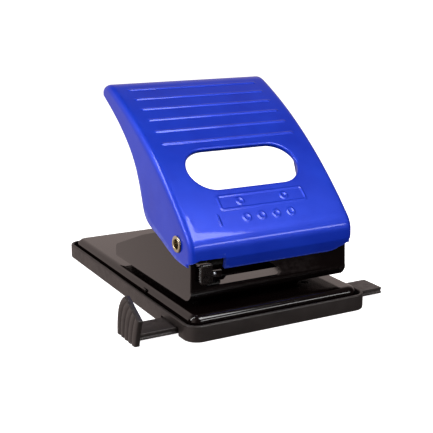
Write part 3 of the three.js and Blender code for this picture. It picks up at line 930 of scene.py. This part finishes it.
def basePan():
    look = {
        "corner": 7.0, "edge": 4.5, "sheet": 1.5, "steps": 12, "rivetHole": 2.9, "dieHole": 5.3,
        "lugY": (-32.0, -27.5), "lugZ": (9.0, 12.2), "lugOut": 0.9,
    }
    low, high = boxOf("base_plate")
    halfX, halfY = high.x - look["lugOut"], high.y
    top, bottom = high.z, low.z

    def panRing(inset, z):
        corner = max(0.4, look["corner"] - inset)
        return [(x, y, z) for x, y in roundedRect(halfX - inset, halfY - inset, corner, 14)]

    edge, sheet = look["edge"], look["sheet"]
    turns = [pi / 2 * i / look["steps"] for i in range(look["steps"] + 1)]
    outside = [(0.25, bottom), (0.0, bottom + 0.3)]
    outside += [(edge * (1 - cos(a)), top - edge * (1 - sin(a))) for a in turns]
    outside += [(edge + 0.6, top)]
    inside = [(edge + 0.6, top - sheet)]
    bend = edge - sheet
    inside += [(edge - bend * cos(a), top - edge + bend * sin(a)) for a in reversed(turns)]
    inside += [(sheet, bottom + 0.3), (sheet - 0.25, bottom)]
    # the outer skin from rim to top, then the inner skin from the middle back to the rim
    outerRings = [panRing(inset, z) for inset, z in outside]
    innerRings = [panRing(inset, z) for inset, z in inside]
    size = len(outerRings[0])
    vertices = [p for ring in outerRings + innerRings for p in ring]
    count = len(outerRings) + len(innerRings)
    faces = []
    for r in range(count):
        if r == len(outerRings) - 1:
            continue
        a, b = r * size, (r + 1) % count * size
        faces += [(a + i, a + (i + 1) % size, b + (i + 1) % size, b + i) for i in range(size)]
    topRing = (len(outerRings) - 1) * size
    faces.append(tuple(range(topRing, topRing + size)))
    faces.append(tuple(range(topRing + size, topRing + 2 * size))[::-1])
    pan = newPiece("base_pan", vertices, faces)
    holes = holesAt(rivetNodes, look["rivetHole"], 5, 20, 32)
    combine(pan, holes + holesAt(["die_left", "die_right"], look["dieHole"], 5, 20))
    smooth(pan, 30, weighted=True)
    lugs = []
    for side in (-1, 1):
        x = sorted((side * (halfX - look["lugOut"]), side * (halfX + look["lugOut"])))
        lugs.append(roundEdges(block("lug", x, look["lugY"], look["lugZ"]), 0.6, 4))
    attach(pan, lugs)
    return place(pan, "punch", "black_paint", "blackEnamel", "base_plate")


chipTray()
paperRail()
basePan()
print("tray, rail and base done")


# the frame and what it holds

def punchFrame():
    look = {
        "sheet": 2.0, "bend": 8.0, "wallTop": 40.0, "corner": 2.6, "edge": 0.45,
        "boss": 10.0, "bossFrom": 62, "frontTop": 44, "eyeletHole": 4.7, "rivetHole": 2.9, "bushHole": 4.5,
        # a cheek's outline: its rear edge, the bend over it, and two bends in the slope up to the boss
        "rearTop": 23.5, "rearBend": [(25.6, 26), (22.6, 27.1)],
        "lowBend": [(-17.1, 42.5), (-18.1, 42.9), (-19.1, 43.2)],
        "highBend": [(-38, 49.3), (-40, 50), (-42, 50.9)],
        "window": [(-44, 26.5), (4.7, 26.5), (6.7, 28.5), (6.7, 30), (-2.5, 36.1), (-2.5, 45), (-44, 45)],
    }
    low, high = boxOf("frame")
    pivot = middleOf("pivot_eyelet_left").yz
    front, back, floor = low.y, high.y, low.z
    bend, sheet = look["bend"], look["sheet"]
    outline = [(back, floor)] + bezierPoints([(back, look["rearTop"]), *look["rearBend"]], 8, first=True)
    outline += bezierPoints(look["lowBend"], 3, first=True)
    outline += bezierPoints(look["highBend"], 4, first=True)
    outline += arcPoints(pivot, look["boss"], look["bossFrom"], 180, 20)
    outline += [(front, look["frontTop"])]
    outline += arcPoints((front + bend, floor + bend), bend, 180, 270, 14)
    body = prism("punch_frame", outline, "x", low.x, high.x)

    def roundCorners(mesh):
        upright = [edge for edge in mesh.edges if all(
            abs(v.co.y / mm - front) < 0.01 and abs(abs(v.co.x) / mm - high.x) < 0.01 for v in edge.verts)]
        bmesh.ops.bevel(mesh, geom=upright, offset=look["corner"] * mm, segments=6, profile=0.5,
                        affect="EDGES")

    editMesh(body, roundCorners)
    wall = front + sheet
    inside = [(back + 30, 90), (wall, 90)]
    inside += arcPoints((front + bend, floor + bend), bend - sheet, 180, 270, 14)
    inside += [(back + 30, floor + sheet)]
    halfInside = high.x - sheet
    tools = [
        prism("inside", inside, "x", -halfInside, halfInside),
        block("above", (-halfInside, halfInside), (front - 5, wall + 0.5), (look["wallTop"], 90)),
        prism("window", look["window"], "y", front - 5, wall + 0.5),
        turned("hole", [(look["eyeletHole"], -70), (look["eyeletHole"], 70)], pivot, "x"),
    ]
    tools += holesAt(rivetNodes, look["rivetHole"], 10, 30, 32)
    tools += holesAt(["guide_bush_left", "guide_bush_right"], look["bushHole"], 10, 30)
    combine(body, tools)
    roundEdges(body, look["edge"], 3, 40)
    return place(body, "punch", "black_paint", "blackEnamel", "frame")


def frameRivets():
    # domed heads over and under the plates, one node tree for all four
    look = {"headRadius": 4.5, "headHeight": 1.4, "shankRadius": 2.5}
    low, high = boxOf("frame_rivet_1")
    tree, given = nodeTree("rivetsOnPoints", [
        ("Head Radius", "Float", 0.004), ("Head Height", "Float", 0.001),
        ("Shank Radius", "Float", 0.002), ("Shank Length", "Float", 0.008),
    ])
    shank = addNode(tree, "GeometryNodeMeshCylinder", {
        "Vertices": 32, "Radius": given["Shank Radius"], "Depth": given["Shank Length"],
    }).outputs["Mesh"]
    ball = addNode(tree, "GeometryNodeMeshUVSphere", {
        "Segments": 40, "Rings": 20, "Radius": 1.0,
    }).outputs["Mesh"]
    squash = addNode(tree, "ShaderNodeCombineXYZ", {
        "X": given["Head Radius"], "Y": given["Head Radius"], "Z": given["Head Height"],
    }).outputs["Vector"]
    half = calc(tree, "MULTIPLY", given["Shank Length"], 0.5)
    heads = []
    for sign in (1.0, -1.0):
        lift = calc(tree, "MULTIPLY", half, sign)
        offset = addNode(tree, "ShaderNodeCombineXYZ", {"Z": lift}).outputs["Vector"]
        heads.append(addNode(tree, "GeometryNodeTransform", {
            "Geometry": ball, "Translation": offset, "Scale": squash,
        }).outputs["Geometry"])
    rounded = addNode(tree, "GeometryNodeJoinGeometry")
    for part in (*heads, shank):
        tree.links.new(part, rounded.inputs["Geometry"])
    spread = addNode(tree, "GeometryNodeInstanceOnPoints", {
        "Points": given["Geometry"], "Instance": rounded.outputs["Geometry"],
    })
    endTree(tree, spread.outputs["Instances"], "zincPlate")
    rivets = grow(pointsPiece("frame_rivets", [middleOf(node) for node in rivetNodes]), tree, {
        "Head Radius": look["headRadius"] * mm, "Head Height": look["headHeight"] * mm,
        "Shank Radius": look["shankRadius"] * mm,
        "Shank Length": (high.z - low.z - 2 * look["headHeight"]) * mm,
    })
    smooth(rivets, 50)
    return place(rivets, "punch", "zinc_steel", "zincPlate", *rivetNodes)


def guides():
    # dies, bushes, pins and their clips, turned from ground steel
    look = {
        "pin": 2.75, "lip": 0.35, "hollow": 1.2, "pinHead": 3.3, "pinHeadHeight": 2.5, "clipEdge": 0.15,
        "bore": 3.05, "die": 5.0, "bush": 4.2, "bushFlange": 5.5, "flangeHeight": 1.0,
    }
    for name in ("left", "right"):
        low, high = boxOf("die_" + name)
        centre = middleOf("die_" + name).xy
        bore, radius = look["bore"], look["die"]
        die = turned("die_ring_" + name, [
            (bore, low.z), (radius - 0.3, low.z), (radius, low.z + 0.3), (radius, high.z - 0.2),
            (radius - 0.2, high.z), (bore, high.z),
        ], centre, closed=True)
        place(smooth(die, 30), "punch", "tool_steel", "toolSteel", "die_" + name)

        low, high = boxOf("guide_bush_" + name)
        seat, radius, flange = high.z - look["flangeHeight"], look["bush"], look["bushFlange"]
        bush = turned("bush_" + name, [
            (bore, low.z), (radius - 0.2, low.z), (radius, low.z + 0.2), (radius, seat), (flange, seat),
            (flange, high.z - 0.3), (flange - 0.3, high.z), (bore + 0.4, high.z), (bore, high.z - 0.4),
        ], centre, closed=True)
        place(smooth(bush, 30), "punch", "tool_steel", "toolSteel", "guide_bush_" + name)

        low, high = boxOf("punch_pin_" + name)
        pin, head, neck = look["pin"], look["pinHead"], high.z - look["pinHeadHeight"]
        lip, hollow = pin - look["lip"], look["hollow"]  # ground hollow, so that its rim cuts
        profile = [(r, low.z + hollow * (1 - (r / lip) ** 2)) for r in (0.0, 0.8, 1.5, 2.1)]
        profile += [(lip, low.z), (pin, low.z), (pin, neck), (head - 0.15, neck), (head, neck + 0.15)]
        profile += [(head - 0.5 + 0.5 * cos(a), high.z - 0.5 + 0.5 * sin(a))
                    for a in (0.0, 0.4, 0.8, 1.2, pi / 2)]
        profile += [(0.0, high.z)]
        stem = turned("pin_" + name, profile, centre)
        place(smooth(stem, 30), name + "_pin", "tool_steel", "toolSteel", "punch_pin_" + name)
        clip = refine("clip_" + name, "pin_clip_" + name, look["clipEdge"])
        place(clip, name + "_pin", "spring_steel", "springWire", "pin_clip_" + name)


def pinSprings():
    # open coils with a closed turn at each end
    look = {"radius": 3.75, "wire": 0.35, "turns": 4.0, "perTurn": 28, "keep": 0.27}
    tree, given = nodeTree("coilSpring", [
        ("Radius", "Float", 0.004), ("Wire", "Float", 0.0004),
        ("Turns", "Float", 4.0), ("Height", "Float", 0.01),
    ])
    closed = calc(tree, "MULTIPLY", given["Wire"], 2.05)  # the height of a closed turn
    rising = calc(tree, "ADD", given["Height"], calc(tree, "MULTIPLY", closed, -2.0))
    top = calc(tree, "ADD", closed, rising)
    wire = addNode(tree, "GeometryNodeCurvePrimitiveCircle", {"Resolution": 10, "Radius": given["Wire"]})
    joined = addNode(tree, "GeometryNodeJoinGeometry")
    for turns, height, lift in ((1.0, closed, None), (given["Turns"], rising, closed), (1.0, closed, top)):
        coil = addNode(tree, "GeometryNodeCurveSpiral", {
            "Resolution": look["perTurn"], "Rotations": turns, "Start Radius": given["Radius"],
            "End Radius": given["Radius"], "Height": height,
        }).outputs["Curve"]
        swept = addNode(tree, "GeometryNodeCurveToMesh", {
            "Curve": coil, "Profile Curve": wire.outputs["Curve"], "Fill Caps": True,
        }).outputs["Mesh"]
        offset = addNode(tree, "ShaderNodeCombineXYZ", {"Z": lift} if lift else {}).outputs["Vector"]
        moved = addNode(tree, "GeometryNodeTransform", {"Geometry": swept, "Translation": offset})
        tree.links.new(moved.outputs["Geometry"], joined.inputs["Geometry"])
    spread = addNode(tree, "GeometryNodeInstanceOnPoints", {
        "Points": given["Geometry"], "Instance": joined.outputs["Geometry"],
    })
    endTree(tree, spread.outputs["Instances"], "springWire")
    for name in ("left", "right"):
        low, high = boxOf("pin_spring_" + name)
        foot = (*middleOf("pin_spring_" + name).xy, low.z + look["wire"])
        spring = grow(pointsPiece("spring_" + name, [foot]), tree, {
            "Radius": look["radius"] * mm, "Wire": look["wire"] * mm, "Turns": look["turns"],
            "Height": (high.z - low.z - 2 * look["wire"]) * mm,
        })
        smooth(spring, 50)
        place(spring, "punch", "spring_steel", "springWire", "pin_spring_" + name)
        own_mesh(spring)


def lockParts():
    # the lever lock: a black slider with a knurled finger piece and a bright rivet
    look = {"round": 1.0, "corner": 1.6, "studHeight": 0.35, "pitch": 1.25, "sliderEdge": 0.3}
    slider = refine("lock_slider_plate", "lock_slider", look["sliderEdge"])
    place(slider, "lock", "black_paint", "blackEnamel", "lock_slider")
    low, high = boxOf("lock_knob")
    middle, half = (low + high) / 2, (high - low) / 2
    stud = look["studHeight"]
    outline = roundedRect(half.x - stud / 2, half.z, look["corner"], 6, (middle.x + stud / 2, middle.z))
    knob = prism("knob_body", outline, "y", low.y + stud, high.y)
    roundEdges(knob, look["round"], 5, 40)

    tree, given = nodeTree("knurledFaces", [
        ("Width", "Float", 0.006), ("Length", "Float", 0.01), ("Pitch", "Float", 0.001),
        ("Stud Height", "Float", 0.0004), ("Centre", "Vector", None), ("Turn", "Vector", None),
    ])
    pyramid = addNode(tree, "GeometryNodeMeshCone", {
        "Vertices": 4, "Radius Top": 0.0, "Radius Bottom": calc(tree, "MULTIPLY", given["Pitch"], 0.5),
        "Depth": given["Stud Height"],
    }, fill_type="NONE").outputs["Mesh"]
    studs = addNode(tree, "GeometryNodeJoinGeometry")
    for less in (0.0, 1.0):  # two grids half a pitch apart make the diamonds meet
        sizes = []
        for side in ("Width", "Length"):
            steps = calc(tree, "FLOOR", calc(tree, "DIVIDE", given[side], given["Pitch"]))
            fewer = calc(tree, "SUBTRACT", steps, less)
            sizes.append((calc(tree, "MULTIPLY", fewer, given["Pitch"]), calc(tree, "ADD", fewer, 1.0)))
        (wide, columns), (tall, rows) = sizes
        grid = addNode(tree, "GeometryNodeMeshGrid", {
            "Size X": wide, "Size Y": tall, "Vertices X": columns, "Vertices Y": rows,
        })
        points = addNode(tree, "GeometryNodeInstanceOnPoints", {
            "Points": grid.outputs["Mesh"], "Instance": pyramid,
        })
        tree.links.new(points.outputs["Instances"], studs.inputs["Geometry"])
    turnedStuds = addNode(tree, "GeometryNodeTransform", {
        "Geometry": studs.outputs["Geometry"], "Translation": given["Centre"], "Rotation": given["Turn"],
    })
    knurled = addNode(tree, "GeometryNodeJoinGeometry", {"Geometry": given["Geometry"]})
    tree.links.new(turnedStuds.outputs["Geometry"], knurled.inputs["Geometry"])
    endTree(tree, knurled.outputs["Geometry"], "knurledAbs")
    grow(knob, tree, {  # the front face
        "Pitch": look["pitch"] * mm, "Stud Height": stud * mm,
        "Width": (high.x - low.x - 2.6) * mm, "Length": (high.z - low.z - 2.4) * mm,
        "Centre": Vector((middle.x, low.y + stud, middle.z)) * mm, "Turn": (pi / 2, 0, 0),
    })
    grow(knob, tree, {  # the left face
        "Pitch": look["pitch"] * mm, "Stud Height": stud * mm,
        "Width": (high.z - low.z - 3.4) * mm, "Length": (high.y - low.y - 1.6) * mm,
        "Centre": Vector((low.x + stud, middle.y + 0.2, middle.z)) * mm, "Turn": (0, -pi / 2, 0),
    })
    place(knob, "lock", "black_plastic", "knurledAbs", "lock_knob")

    low, high = boxOf("lock_rivet")
    centre, radius = (low + high) / 2, (high.x - low.x) / 2
    dome = [(0.0, low.y)] + [(radius * sin(a), high.y - (high.y - low.y) * cos(a))
                             for a in (0.25, 0.5, 0.75, 1.0, 1.25, pi / 2)] + [(0.0, high.y)]
    rivet = turned("lock_pin", dome, (centre.x, centre.z), "y", 32)
    place(smooth(rivet, 50), "lock", "zinc_steel", "zincPlate", "lock_rivet")


def sheetParts():
    look = {"edge": 0.3}
    for name, node in (("spacer_strip", "spacer_plate"), ("guide_bracket_sheet", "guide_bracket")):
        place(refine(name, node, look["edge"]), "punch", "black_paint", "blackEnamel", node)


punchFrame()
frameRivets()
guides()
pinSprings()
lockParts()
sheetParts()
print("frame and punch parts done")
